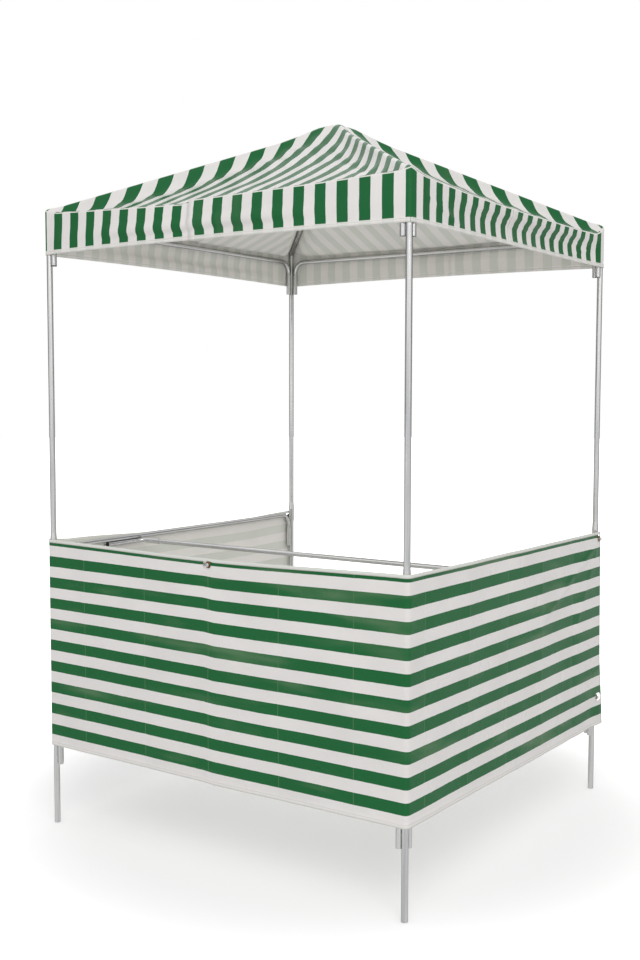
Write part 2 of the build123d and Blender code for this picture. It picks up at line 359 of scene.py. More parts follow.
@dataclass(frozen=True)
class StitchedHem:
    """Folded and stitched edge of the coated sheet.

    It is white, because the edge is turned over, with the stripes behind it showing faintly and a
    row of stitches sunk into it. The "Trim" map holds metres along the edge and metres in from it.
    """

    name: str
    ground: str = "#E4E1DD"
    shown_through: str = "#DADBD5"
    thread: str = "#BDBAB5"
    pitch_mm: float = 80.0
    stripe_mm: float = 40.0
    stitch_mm: float = 5.0
    stitch_from_edge_mm: float = 11.0
    stitch_width_mm: float = 1.2
    stitch_relief_mm: float = 0.4
    roughness: float = 0.45

    def material(self) -> bpy.types.Material:
        """Makes the hem's node material.

        Returns:
            The material.
        """
        material, tree = new_material(self.name)
        stripes = add_node(tree, "UVMap", uv_map="Stripe")
        across = add_node(tree, "SeparateXYZ", {0: stripes})
        behind = printed_stripes(tree, across, self.pitch_mm, self.stripe_mm)
        tones = {SHARE: behind, FIRST: hex_to_linear(self.ground), SECOND: hex_to_linear(self.shown_through)}
        colour = add_node(tree, "Mix", tones, MIXED, data_type="RGBA")
        along = add_node(tree, "SeparateXYZ", {0: add_node(tree, "UVMap", uv_map="Trim")})
        inwards = along.node.outputs[1]
        # A stitch takes three quarters of its length, and the gap to the next one the rest
        half_stitch = self.stitch_mm / 2 / 1000
        half_gap = self.stitch_mm / 8 / 1000
        beat = add_node(tree, "Math", {0: along, 1: half_stitch}, operation="PINGPONG")
        thread = add_node(tree, "Math", {0: beat, 1: half_gap}, operation="GREATER_THAN")
        band = {0: inwards, 1: self.stitch_from_edge_mm / 1000, 2: self.stitch_width_mm / 2 / 1000}
        row = add_node(tree, "Math", band, operation="COMPARE")
        stitch = add_node(tree, "Math", {0: thread, 1: row}, operation="MULTIPLY")
        tones = {SHARE: stitch, FIRST: colour, SECOND: hex_to_linear(self.thread)}
        sewn = add_node(tree, "Mix", tones, MIXED, data_type="RGBA")
        relief = {"Strength": 0.6, "Distance": self.stitch_relief_mm / 1000, "Height": row}
        sunk = add_node(tree, "Bump", relief, invert=True)
        surface = add_node(tree, "BsdfPrincipled", {
            "Base Color": sewn,
            "Roughness": self.roughness,
            "Specular IOR Level": 0.25,
            "Normal": sunk,
        })
        add_node(tree, "OutputMaterial", {0: surface})
        return material


@dataclass(frozen=True)
class PlatedSteel:
    """Zinc-plated drawn steel tube.

    Plating gives a cool light grey that mirrors softly, and drawing and handling leave long dull
    marks along the tube and small spots.
    """

    run: Run
    light: str = "#E2E2E1"
    dull: str = "#C4C5C8"
    # The edge tint is painted shade: a dark brown grey that darkens the reflection towards the tube's outline
    edge: str = "#857B75"
    mark_mm: float = 9.0
    mark_length_mm: float = 420.0
    roughness: float = 0.21

    def material(self) -> bpy.types.Material:
        """Makes the tube's node material.

        Returns:
            The material.
        """
        material, tree = new_material(f"plated_steel_{self.run.name.lower()}")
        place = add_node(tree, "TexCoord", out="Object")
        scale = [1000 / (self.mark_length_mm if step else self.mark_mm) for step in self.run.value]
        stretch = add_node(tree, "Mapping", {"Vector": place, "Scale": scale})
        streaks = {"Vector": stretch, "Scale": 1.0, "Detail": 4.0, "Roughness": 0.6}
        marks = add_node(tree, "TexNoise", streaks)
        spots = add_node(tree, "TexNoise", {"Vector": place, "Scale": 22.0, "Detail": 2.0})
        blend = add_node(tree, "MapRange", {"Value": marks, "From Min": 0.42, "From Max": 0.66})
        tones = {SHARE: blend, FIRST: hex_to_linear(self.light), SECOND: hex_to_linear(self.dull)}
        colour = add_node(tree, "Mix", tones, MIXED, data_type="RGBA")
        low, high = self.roughness - 0.03, self.roughness + 0.05
        spread = {"Value": spots, "From Min": 0.3, "From Max": 0.7, "To Min": low, "To Max": high}
        gloss = add_node(tree, "MapRange", spread)
        relief = add_node(tree, "Bump", {"Strength": 0.1, "Distance": 0.0001, "Height": marks})
        surface = add_node(tree, "BsdfPrincipled", {
            "Base Color": colour,
            "Metallic": 1.0,
            # Painted shade: the dark edge tint darkens the tube's reflection at a flat angle
            "Specular Tint": hex_to_linear(self.edge),
            "Roughness": gloss,
            "Normal": relief,
        })
        add_node(tree, "OutputMaterial", {0: surface})
        return material


@dataclass(frozen=True)
class PressedBrass:
    """Pressed brass eyelet, gone dull and brown in its corners."""

    light: str = "#A88A63"
    dull: str = "#5E4A33"
    roughness: float = 0.32

    def material(self) -> bpy.types.Material:
        """Makes the eyelet's node material.

        Returns:
            The material.
        """
        material, tree = new_material("pressed_brass")
        place = add_node(tree, "TexCoord", out="Object")
        tarnish = add_node(tree, "TexNoise", {"Vector": place, "Scale": 220.0, "Detail": 3.0})
        tones = {SHARE: tarnish, FIRST: hex_to_linear(self.light), SECOND: hex_to_linear(self.dull)}
        colour = add_node(tree, "Mix", tones, MIXED, data_type="RGBA")
        relief = add_node(tree, "Bump", {"Strength": 0.2, "Distance": 0.0002, "Height": tarnish})
        surface = add_node(tree, "BsdfPrincipled", {
            "Base Color": colour,
            "Metallic": 1.0,
            "Roughness": self.roughness,
            "Normal": relief,
        })
        add_node(tree, "OutputMaterial", {0: surface})
        return material


@dataclass(frozen=True)
class MouldedPlug:
    """Black polyethylene tube plug, moulded, with a faintly grained skin."""

    colour: str = "#17181A"
    grain_mm: float = 0.8
    roughness: float = 0.48
    ior: float = 1.5

    def material(self) -> bpy.types.Material:
        """Makes the plug's node material.

        Returns:
            The material.
        """
        material, tree = new_material("moulded_polyethylene")
        place = add_node(tree, "TexCoord", out="Object")
        grain = add_node(tree, "TexNoise", {"Vector": place, "Scale": 1000 / self.grain_mm, "Detail": 2.0})
        relief = add_node(tree, "Bump", {"Strength": 0.3, "Distance": 0.0001, "Height": grain})
        surface = add_node(tree, "BsdfPrincipled", {
            "Base Color": hex_to_linear(self.colour),
            "Roughness": self.roughness,
            "IOR": self.ior,
            "Normal": relief,
        })
        add_node(tree, "OutputMaterial", {0: surface})
        return material


@dataclass(frozen=True)
class Layout:
    """Places of the stall that the sheets are fitted to, read from the frame."""

    post_line: float
    roof_face: float
    eave: float
    peak: float
    valance_low: float
    skirt_face: float
    skirt_low: float
    skirt_top: float
    skirt_end: float

    @classmethod
    def from_frame(cls) -> "Layout":
        """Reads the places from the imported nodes.

        Returns:
            The layout.
        """
        post_radius = 0.01065
        panel_and_gap = 0.0027
        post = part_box("lower_post_front_right")
        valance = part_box("valance_front")
        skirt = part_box("skirt_front")
        return cls(
            post_line=post[1][0] - post_radius,
            roof_face=-valance[0][1],
            eave=valance[1][2] + panel_and_gap,
            peak=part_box("canopy_peak")[1][2],
            valance_low=valance[0][2],
            skirt_face=-skirt[0][1],
            skirt_low=skirt[0][2],
            skirt_top=skirt[1][2],
            skirt_end=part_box("skirt_left")[1][1],
        )


@dataclass(frozen=True)
class Crease:
    """A sharp fold that stands out of a sheet along a straight line."""

    start: tuple[float, float]
    end: tuple[float, float]
    height: float
    width: float
    runout: float = 0.2
    fade: float = 0.3

    def lift(self, along: float, up: float) -> float:
        """Says how far the fold lifts the sheet at a place.

        Args:
            along: place along the sheet.
            up: height on the sheet.

        Returns:
            The lift outwards.
        """
        run = (self.end[0] - self.start[0], self.end[1] - self.start[1])
        offset = (along - self.start[0], up - self.start[1])
        length = math.hypot(*run)
        share = (run[0] * offset[0] + run[1] * offset[1]) / length**2
        aside = abs(run[0] * offset[1] - run[1] * offset[0]) / length
        before = share + self.runout
        after = 1 + self.runout - share
        if before <= 0 or after <= 0:
            return 0.0
        ends = smooth_step(before / self.fade) * smooth_step(after / self.fade)
        return self.height * ends * math.exp(-aside / self.width)


@dataclass(frozen=True)
class RoofSide:
    """How one side of the roof cover hangs and where its green stripes start.

    Places along a side run from its left corner to its right corner, seen from outside.
    """

    name: str
    quarter_turns: int
    roof_green: float
    valance_green: float
    green_after_seam: float
    shoulder: Points
    bulge: Points
    hem_bulge: Points
    bulge_down: Points
    creases: tuple[Crease, ...] = ()


@dataclass
class RoofCover:
    """One sewn cover: four roof faces, the hips they share and the valance below the eave."""

    layout: Layout
    sides: tuple[RoofSide, ...]
    crown: float = 0.0168
    crown_dip: float = 0.0008
    crown_skirt: float = 0.0496
    crown_fall: float = 0.0125
    crown_reach: float = 0.155
    hang_line: Points = (
        (0.03, 0.0), (0.10, 0.015), (0.20, 0.033), (0.30, 0.047),
        (0.42, 0.057), (0.60, 0.060), (0.80, 0.053), (0.94, 0.047),
    )
    slope_rows: int = 52
    slope_end: float = 0.024
    slope_stretch: float = 1.1
    hip_drop: float = 0.0042
    hip_width: float = 0.0095
    hip_spread: float = 0.016
    hip_curve: float = 1.15
    pucker_pitch: float = 0.072
    pucker_height: float = 0.0045
    pucker_reach: float = 0.02
    slack_height: float = 0.003
    ripple_height: float = 0.0016
    corner_crumple: float = 0.004
    corner_reach: float = 0.04
    corner_width: float = 0.006
    seam_place: float = 0.684
    seam_lap: float = 0.0030
    seam_reach: float = 0.03
    hem_height: float = 0.0145
    hem_rise: float = 0.006
    hem_thickness: float = 0.0008
    welt: float = 0.0035
    thickness: float = 0.0006
    flat: tuple[float, float] = (2.0, 2.0)
    flat_area: float = 3.54

    def columns(self) -> list[float]:
        """Lays out the columns of one side, close together at the corners and at the seam.

        Returns:
            Places along the eave, from the left corner to the right corner.
        """
        length = 2 * self.layout.roof_face
        step, growth, widest = 0.0027, 1.13, 0.0145
        half = [0.0]
        while half[-1] + step < length / 2:
            half.append(half[-1] + step)
            step = min(step * growth, widest)
        half[-1] = length / 2
        places = half + [length - place for place in half[-2::-1]]
        lap, near = 0.0006, 0.006
        places = [place for place in places if abs(place - self.seam_place) > near]
        return sorted(places + [self.seam_place - lap, self.seam_place + lap])

    def roof_rows(self) -> list[float]:
        """Lays out the rows of a roof face, close together at the peak and at the eave.

        Returns:
            Distances from the middle of the stall, as seen from above.
        """
        face = self.layout.roof_face
        peak_rows = [0.0, 0.006, 0.012, self.crown, 0.021, 0.028, 0.038, self.crown_skirt]
        step = (face - self.slope_end - self.crown_skirt) / self.slope_rows
        slope_rows = [self.crown_skirt + step * (row + 1) for row in range(self.slope_rows)]
        eave_rows = [face - inset for inset in (0.018, 0.012, 0.008, 0.0052)]
        return peak_rows + slope_rows + eave_rows

    def ridge_height(self, distance: float) -> float:
        """Gives the height of the hip line above the ground.

        Args:
            distance: distance from the middle, measured square to the eave.

        Returns:
            The height of the cover on the hip, before it drops between the rafters.
        """
        lay = self.layout
        slope = (lay.peak - lay.eave) / lay.roof_face
        fall = (
            (0.0, 0.0),
            (self.crown, self.crown_dip),
            (self.crown_skirt, self.crown_fall),
            (self.crown_reach, slope * self.crown_reach),
            (lay.roof_face, slope * lay.roof_face),
        )
        return lay.peak - height_at(fall, distance, ease=False)

    def shoulder_drop(self, side: RoofSide, place: float) -> float:
        """Gives how far the eave's fold lies below its corners, with a crumple near each.

        Args:
            side: the side of the stall.
            place: place along the side.

        Returns:
            The drop.
        """
        end = min(place, 2 * self.layout.roof_face - place)
        near = math.exp(-end / self.corner_reach) * (1 - math.exp(-end / self.corner_width))
        crumple = noise.noise(Vector((place * 45, 2.2 * side.quarter_turns, 0.7)))
        return height_at(side.shoulder, place, ease=False) + self.corner_crumple * near * crumple

    def roof_drop(self, side: RoofSide, distance: float, across: float) -> float:
        """Says how far the cover hangs below the line of its hips.

        Args:
            side: the side of the stall.
            distance: distance from the middle, measured square to the eave.
            across: place from hip to hip, from -1 to 1.

        Returns:
            The drop.
        """
        lay = self.layout
        face = lay.roof_face
        share = distance / face
        # The cloth lies on the rafters, leaves them with a short bend and puckers along them
        rest = self.hip_drop * smooth_step((share - 0.05) / 0.1) * smooth_step((1 - share) / 0.06)
        fill = 1.0
        pucker = 0.0
        for number, side_step in enumerate((1 - across, 1 + across)):
            gap = max(0.0, distance * side_step / math.sqrt(2) - self.hip_width)
            fill *= 1 - math.exp(-((gap / self.hip_spread) ** self.hip_curve))
            turn = 2 * math.pi * distance / self.pucker_pitch + 1.7 * number + 2.3 * side.quarter_turns
            window = gap / self.pucker_reach
            pucker += self.pucker_height * math.sin(turn) * window * math.exp(1 - window) * share**0.3
        deep = max(0.0, height_at(self.hang_line, share) - self.hip_drop) * fill
        slack = noise.noise(Vector((across * distance * 5, distance * 4, 3.1 * side.quarter_turns)))
        inner = rest + deep + (pucker + self.slack_height * slack) * min(1.0, share * 4) * fill
        # Between the rafters the cloth follows the crown of the hub only in part
        plane = lay.peak - (lay.peak - lay.eave) * share
        inner += 0.6 * fill * max(0.0, self.ridge_height(distance) - plane)
        blend = smooth_step((share - 0.945) / 0.05)
        return inner + (self.shoulder_drop(side, face * (1 + across)) - inner) * blend

    def valance_bulge(self, side: RoofSide, place: float, down: float) -> float:
        """Says how far the valance stands out of its flat face.

        Args:
            side: the side of the stall.
            place: place along the side.
            down: share of the way from the eave to the hem.

        Returns:
            The distance outwards.
        """
        middle = height_at(side.bulge, place) * height_at(side.bulge_down, down)
        low = height_at(side.hem_bulge, place) * smooth_step((down - 0.1) / 0.9)
        lap = 0.0
        if place > self.seam_place:
            lap = self.seam_lap * math.exp(-(place - self.seam_place) / self.seam_reach)
        height = self.layout.eave - self.layout.valance_low
        folds = sum(crease.lift(place, height * (1 - down)) for crease in side.creases)
        flat, rise = 0.02, 0.05
        after = 2 * self.layout.roof_face - place
        ends = smooth_step((place - flat) / rise) * smooth_step((after - flat) / rise)
        ripple = noise.noise(Vector((place * 9, down * 1.5, 7.7 * side.quarter_turns)))
        return (middle + low + lap + folds + self.ripple_height * ripple) * ends

    def rounded(self, x: float, y: float) -> tuple[float, float]:
        """Rounds the plan corners where the sheet goes round a post.

        Args:
            x: place across the stall.
            y: place along the stall.

        Returns:
            The rounded place.
        """
        line = self.layout.post_line
        past_x = abs(x) - line
        past_y = abs(y) - line
        if past_x <= 0 or past_y <= 0:
            return x, y
        share = max(past_x, past_y) / math.hypot(past_x, past_y)
        return math.copysign(line + past_x * share, x), math.copysign(line + past_y * share, y)

    def valance_rows(self) -> list[tuple[float, float]]:
        """Lays out the rows of the valance.

        Returns:
            Pairs of the share of the way down to the top of the hem, and the height above it.
        """
        shares = [0.07, 0.14, 0.22, 0.30, 0.38, 0.46, 0.54, 0.61, 0.67, 0.73, 0.79, 0.85, 0.91, 0.96]
        fold = 0.0003
        heights = [fold, 0.0, 0.0075 - self.hem_height, -self.hem_height]
        return [(share, 0.0) for share in shares] + [(1.0, height) for height in heights]

    def side_grid(self, shape: bmesh.types.BMesh, side: RoofSide) -> None:
        """Adds one roof face with its valance to the cover.

        Args:
            shape: the cover so far, with its two maps.
            side: the side to add.
        """
        lay = self.layout
        face = lay.roof_face
        columns = self.columns()
        roof = self.roof_rows()
        # Inset and drop of the rows that round the eave's edge
        eave = [(0.0035, 0.0), (0.0010, -0.0004), (0.0, self.welt)]
        hang = self.valance_rows()
        count = len(roof) + len(eave) + len(hang)
        turn = Matrix.Rotation(math.radians(90 * side.quarter_turns), 4, "Z")
        rows = {}
        maps = {}
        for vertex, (column, row_from_hem) in lay_grid(shape, len(columns), count).items():
            row = count - 1 - row_from_hem
            place = columns[column]
            across = place / face - 1
            shoulder = lay.eave - self.shoulder_drop(side, place)
            low = lay.valance_low + self.hem_rise * math.sin(math.pi * place / (2 * face))
            if row < len(roof):
                distance = roof[row]
                x, y = self.rounded(across * distance, -distance)
                z = self.ridge_height(distance) - self.roof_drop(side, distance, across)
                along = distance * self.slope_stretch
                edge = face - distance
            elif row < len(roof) + len(eave):
                inset, drop = eave[row - len(roof)]
                distance = face - inset
                x, y = self.rounded(across * distance, -distance)
                z = shoulder - drop
                along = face * self.slope_stretch + drop
                edge = 0.0
            else:
                share, height = hang[row - len(roof) - len(eave)]
                top = shoulder - self.welt
                z = top + (low + self.hem_height - top) * share + height
                down = (top - z) / (top - low)
                in_hem = share == 1 and height <= 0
                out = self.valance_bulge(side, place, down) + (self.hem_thickness if in_hem else 0.0)
                x, y = self.rounded(across * face, -face)
                y -= out
                along = face * self.slope_stretch + shoulder - z
                edge = z - low
            rows[vertex] = row
            across_metres = (across + 1) * face if row >= len(roof) else across * distance + face
            maps[vertex] = (across_metres, along, edge)
            vertex.co = turn @ Vector((x, y, z))
        self.map_side(shape, side, rows, maps, (len(roof), len(eave), len(hang)))

    def map_side(
        self, shape: bmesh.types.BMesh, side: RoofSide, rows: dict, maps: dict, counts: tuple[int, int, int]
    ) -> None:
        """Writes the maps and material numbers of one side's faces.

        Args:
            shape: the cover so far.
            side: the side whose faces are mapped.
            rows: the row of each corner, from the peak down.
            maps: metres across, along and in from the edge for each corner.
            counts: numbers of rows on the roof, round the fold of the eave and on the valance.
        """
        roof_count, eave_count, hang_count = counts
        hem_start = roof_count + eave_count + hang_count - 3
        stripe = shape.loops.layers.uv["Stripe"]
        trim = shape.loops.layers.uv["Trim"]
        for face in {face for vertex in rows for face in vertex.link_faces}:
            row = min(rows[vertex] for vertex in face.verts)
            middle = sum(maps[vertex][0] for vertex in face.verts) / len(face.verts)
            if row < roof_count - 1:
                start = side.roof_green
            elif middle < self.seam_place:
                start = side.valance_green
            else:
                start = side.green_after_seam
            in_fold = roof_count <= row < roof_count + eave_count - 1
            in_hem = row >= hem_start
            face.material_index = 1 if in_fold or in_hem else 0
            for loop in face.loops:
                across, along, edge = maps[loop.vert]
                loop[stripe].uv = (across - start, along)
                loop[trim].uv = (across, edge)

    def build(self, finishes: list[bpy.types.Material]) -> bpy.types.Object:
        """Builds the cover and dresses it.

        Args:
            finishes: outer sheet, hem, underside and hem underside.

        Returns:
            The finished cover.
        """
        shape = bmesh.new()
        shape.loops.layers.uv.new("Stripe")
        shape.loops.layers.uv.new("Trim")
        for side in self.sides:
            self.side_grid(shape, side)
        same_place, no_length = 0.00002, 0.000005
        bmesh.ops.remove_doubles(shape, verts=shape.verts, dist=same_place)
        bmesh.ops.dissolve_degenerate(shape, dist=no_length, edges=shape.edges)
        bmesh.ops.recalc_face_normals(shape, faces=shape.faces)
        if sum(face.normal.z * face.calc_area() for face in shape.faces) < 0:
            bmesh.ops.reverse_faces(shape, faces=shape.faces)
        cover = finished_object("roof_cover", shape, finishes)
        add_thickness(cover, self.thickness)
        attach(cover, "root")
        names = [f"{kind}_{side.name}" for side in self.sides for kind in ("canopy", "valance")]
        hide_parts("canopy_peak", *names)
        return cover


@dataclass(frozen=True)
class Station:
    """How far a stripe lies above or below its place at one upright line of the skirt."""

    along: float
    shifts: Points


@dataclass(frozen=True)
class Stretch:
    """A side of the strip, or its bend round a post, seen from above.

    It starts one radius outwards of its base, where outwards is the heading, in degrees.
    """

    length: float
    base: Vector
    heading: float
    bent: bool = False


@dataclass
class Skirt:
    """One strip of striped sheet round three sides, hung on the pins of the back posts."""

    layout: Layout
    column_step: float = 0.0135
    row_step: float = 0.0115
    hem_height: float = 0.012
    hem_thickness: float = 0.0008
    first_green: float = 0.0413
    pitch: float = 0.0787
    thickness: float = 0.0006
    folds: int = 16
    fold_height: float = 0.0016
    fold_width: float = 0.035
    bend_columns: int = 8
    end_reach: float = 0.10
    flare: float = 0.010
    flare_height: float = 0.30
    end_slant: tuple[float, float] = (0.014, -0.012)
    hole_radius: float = 0.0068
    hole_reach: float = 0.024
    # Height of each wave, waves per metre along and up the strip, and its place in the noise
    waves: tuple[tuple[float, float, float, float], ...] = ((0.0042, 2.3, 1.9, 0.4), (0.0020, 6.5, 3.2, 5.0))
    stand_off: float = 0.002
    corner_calm: float = 0.10
    end_calm: tuple[float, float] = (0.02, 0.12)

    def side_length(self) -> float:
        """Gives the length of a side from its free end to the corner's bend."""
        return self.layout.skirt_end + self.layout.post_line

    def bend_length(self) -> float:
        """Gives the length of the quarter bend round a front post."""
        return math.pi / 2 * (self.layout.skirt_face - self.layout.post_line)

    def front_length(self) -> float:
        """Gives the length of the straight front between its bends."""
        return 2 * self.layout.post_line

    def length(self) -> float:
        """Gives the whole length of the strip."""
        return 2 * self.side_length() + 2 * self.bend_length() + self.front_length()

    def front_middle(self) -> float:
        """Gives the place of the middle of the front along the strip."""
        return self.length() / 2

    def from_front(self, x: float) -> float:
        """Gives the place along the strip of a place across the front."""
        return self.front_middle() + x

    def from_right(self, y: float) -> float:
        """Gives the place along the strip of a place on the right side."""
        return self.length() - self.layout.skirt_end + y

    def stretches(self) -> list[Stretch]:
        """Lists the sides of the strip and its bends round the front posts.

        Returns:
            The stretches, in order from the free end on the left side.
        """
        line = self.layout.post_line
        left = Vector((-line, -line, 0))
        right = Vector((line, -line, 0))
        return [
            Stretch(self.side_length(), Vector((-line, self.layout.skirt_end, 0)), 180.0),
            Stretch(self.bend_length(), left, 180.0, bent=True),
            Stretch(self.front_length(), left, 270.0),
            Stretch(self.bend_length(), right, 270.0, bent=True),
            Stretch(self.side_length(), right, 0.0),
        ]

    def outline(self, along: float) -> tuple[Vector, Vector]:
        """Follows the strip round the posts.

        Args:
            along: place along the strip, from the free end on the left side.

        Returns:
            The place in plan and the direction outwards.
        """
        radius = self.layout.skirt_face - self.layout.post_line
        stretches = self.stretches()
        while along > stretches[0].length and len(stretches) > 1:
            along -= stretches.pop(0).length
        here = stretches[0]
        turn = math.radians(here.heading) + (along / radius if here.bent else 0.0)
        out = Vector((math.cos(turn), math.sin(turn), 0))
        forward = Vector((-out.y, out.x, 0))
        return here.base + radius * out + (0.0 if here.bent else along) * forward, out

    def fold_lines(self) -> list[float]:
        """Gives the places of the upright creases left by packing."""
        return [self.length() * number / self.folds for number in range(1, self.folds)]

    def columns(self) -> list[float]:
        """Lays out the columns of the strip, with one on each crease and a few round each post.

        Returns:
            Places along the strip.
        """
        places = []
        start = 0.0
        for stretch in self.stretches():
            count = self.bend_columns if stretch.bent else round(stretch.length / self.column_step)
            places += [start + stretch.length * number / count for number in range(count)]
            start += stretch.length
        places.append(self.length())
        for line in self.fold_lines():
            nearest = min(range(1, len(places) - 1), key=lambda number: abs(places[number] - line))
            places[nearest] = line
        return places

    def rows(self) -> list[float]:
        """Lays out the rows of the strip.

        Returns:
            Heights above the lower edge.
        """
        height = self.layout.skirt_top - self.layout.skirt_low
        fold = 0.0003
        low = self.hem_height
        high = height - self.hem_height
        count = round((high - low - 2 * fold) / self.row_step)
        inner = [low + fold + (high - low - 2 * fold) * number / count for number in range(count + 1)]
        return [0.0, low / 2, low] + inner + [high, height - self.hem_height / 2, height]

    def stations(self) -> list[Station]:
        """Gives the upright lines at which the stripes' heights are known.

        Returns:
            The stations, in order along the strip.
        """
        corner = self.front_middle() - self.layout.post_line - self.bend_length() / 2
        other = self.length() - corner
        return [
            Station(0.0, ((0.0, -0.024), (0.30, -0.018), (0.70, -0.012), (0.77, -0.016))),
            Station(0.32, ((0.0, -0.016), (0.55, -0.014), (0.77, -0.025))),
            Station(0.95, ((0.0, -0.006), (0.55, -0.006), (0.77, -0.024))),
            Station(corner - 0.12, ((0.0, 0.002), (0.40, 0.004), (0.77, -0.008))),
            Station(corner, ((0.0, 0.004), (0.40, 0.006), (0.63, 0.002), (0.76, 0.0))),
            Station(
                self.from_front(-0.02),
                ((0.0, 0.001), (0.55, 0.0), (0.64, -0.002), (0.70, -0.007), (0.77, -0.011)),
            ),
            Station(
                self.from_front(0.03),
                ((0.0, -0.002), (0.55, -0.004), (0.64, -0.006), (0.70, -0.010), (0.77, -0.012)),
            ),
            Station(other, ((0.0, 0.0), (0.77, 0.0))),
            Station(
                self.length(),
                ((0.0, -0.028), (0.16, -0.028), (0.32, -0.020), (0.55, -0.014), (0.77, -0.014)),
            ),
        ]

    def shift(self, along: float, height: float) -> float:
        """Says how far the strip is shifted up at a place by how it hangs.

        Args:
            along: place along the strip.
            height: height above the lower edge of the flat strip.

        Returns:
            The shift upwards.
        """
        stations = self.stations()
        for first, second in zip(stations, stations[1:]):
            if along <= second.along:
                share = (along - first.along) / (second.along - first.along)
                if first is not stations[0] and second is not stations[-1]:
                    share = smooth_step(share)
                low = height_at(first.shifts, height)
                return low + (height_at(second.shifts, height) - low) * share
        return height_at(stations[-1].shifts, height)

    def creases(self) -> list[Crease]:
        """Gives the folds that run across the strip or pull from a pin.

        Returns:
            The folds.
        """
        right = self.from_right
        front = self.from_front
        return [
            Crease((right(0.742), 0.735), (right(0.235), 0.505), 0.0065, 0.012),
            Crease((right(0.742), 0.725), (right(0.52), 0.42), 0.0030, 0.016),
            Crease((right(-0.74), 0.215), (right(-0.20), 0.255), 0.0030, 0.018),
            Crease((right(-0.60), 0.110), (right(-0.10), 0.150), 0.0025, 0.016),
            Crease((right(0.10), 0.120), (right(0.50), 0.160), 0.0025, 0.020),
            Crease((front(-0.01), 0.735), (front(-0.20), 0.690), 0.0035, 0.010),
            Crease((front(0.01), 0.735), (front(0.22), 0.685), 0.0035, 0.010),
            Crease((front(0.0), 0.365), (front(0.30), 0.245), 0.0025, 0.030),
            Crease((front(-0.59), 0.660), (front(-0.40), 0.640), 0.0020, 0.012),
        ]

    def billow(self, along: float, height: float) -> float:
        """Says how far the strip stands out of its flat faces.

        Args:
            along: place along the strip.
            height: height above the lower edge.

        Returns:
            The distance outwards.
        """
        side = self.side_length()
        bend = self.bend_length()
        corners = (side + bend / 2, self.length() - side - bend / 2)
        clear = min(abs(along - corner) for corner in corners) - bend / 2
        near_end = min(along, self.length() - along)
        flat, rise = self.end_calm
        calm = smooth_step(clear / self.corner_calm) * smooth_step((near_end - flat) / rise)
        wave = 0.0
        for size, lengthways, upwards, place in self.waves:
            wave += size * noise.noise(Vector((along * lengthways, height * upwards, place)))
        folds = 0.0
        for number, line in enumerate(self.fold_lines()):
            sign = 1 if number % 2 else -1
            folds += sign * self.fold_height * math.exp(-abs(along - line) / self.fold_width)
        pulls = sum(crease.lift(along, height) for crease in self.creases())
        low = smooth_step((self.flare_height - height) / self.flare_height)
        flare = self.flare * low * smooth_step((self.end_reach - near_end) / self.end_reach)
        return (self.stand_off + wave + folds) * calm + pulls * smooth_step((near_end - 0.012) / 0.03) + flare

    def holes(self) -> list[tuple[float, float]]:
        """Gives the middles of the holes that the eyelets line.

        Returns:
            Their places along the strip and their heights above ground.
        """
        end = self.layout.skirt_end - self.layout.post_line
        ring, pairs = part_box("eyelet_front"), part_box("eyelets_left")
        low, high = ring[0][2], ring[1][2]
        radius = (high - low) / 2
        # A box of round facets falls a few microns short, so heights are taken to 0.1 mm
        found = [(self.front_middle(), round((low + high) / 2, 4))]
        for height in (round(pairs[0][2] + radius, 4), round(pairs[1][2] - radius, 4)):
            found += [(end, height), (self.length() - end, height)]
        return found

    def build(self, finishes: list[bpy.types.Material]) -> bpy.types.Object:
        """Builds the strip and dresses it.

        Args:
            finishes: outer sheet, hem, inner face and inner hem.

        Returns:
            The finished strip.
        """
        lay = self.layout
        columns = self.columns()
        rows = self.rows()
        height = lay.skirt_top - lay.skirt_low
        shape = bmesh.new()
        stripe = shape.loops.layers.uv.new("Stripe")
        trim = shape.loops.layers.uv.new("Trim")
        flat = {}
        for vertex, (column, row) in lay_grid(shape, len(columns), len(rows)).items():
            along = columns[column]
            up = rows[row]
            flat[vertex] = [along, lay.skirt_low + up + self.shift(along, up), up, row]
        self.punch(shape, flat)
        for face in shape.faces:
            row = min(flat[vertex][3] for vertex in face.verts)
            face.material_index = 1 if row < 2 or row >= len(rows) - 3 else 0
            for loop in face.loops:
                along, _, up, _ = flat[loop.vert]
                loop[stripe].uv = (up - self.first_green, along)
                loop[trim].uv = (along, min(up, height - up))
        for vertex, (along, z, up, _) in flat.items():
            place, out = self.outline(along)
            lift = self.billow(along, up)
            if up <= self.hem_height or up >= height - self.hem_height:
                lift += self.hem_thickness
            place = place + lift * out
            low, high = self.end_slant
            near_end = min(along, self.length() - along)
            ending = max(0.0, 1 - near_end / self.end_reach) ** 2
            place.y += (low * (1 - up / height) + high * up / height) * ending
            vertex.co = Vector((place.x, place.y, z))
        bmesh.ops.recalc_face_normals(shape, faces=shape.faces)
        front = min(shape.faces, key=lambda face: face.calc_center_median().y)
        if front.normal.y > 0:
            bmesh.ops.reverse_faces(shape, faces=shape.faces)
        skirt = finished_object("skirt", shape, finishes)
        add_thickness(skirt, self.thickness)
        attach(skirt, "root")
        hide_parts("skirt_front", "skirt_left", "skirt_right")
        self.length()
        return skirt

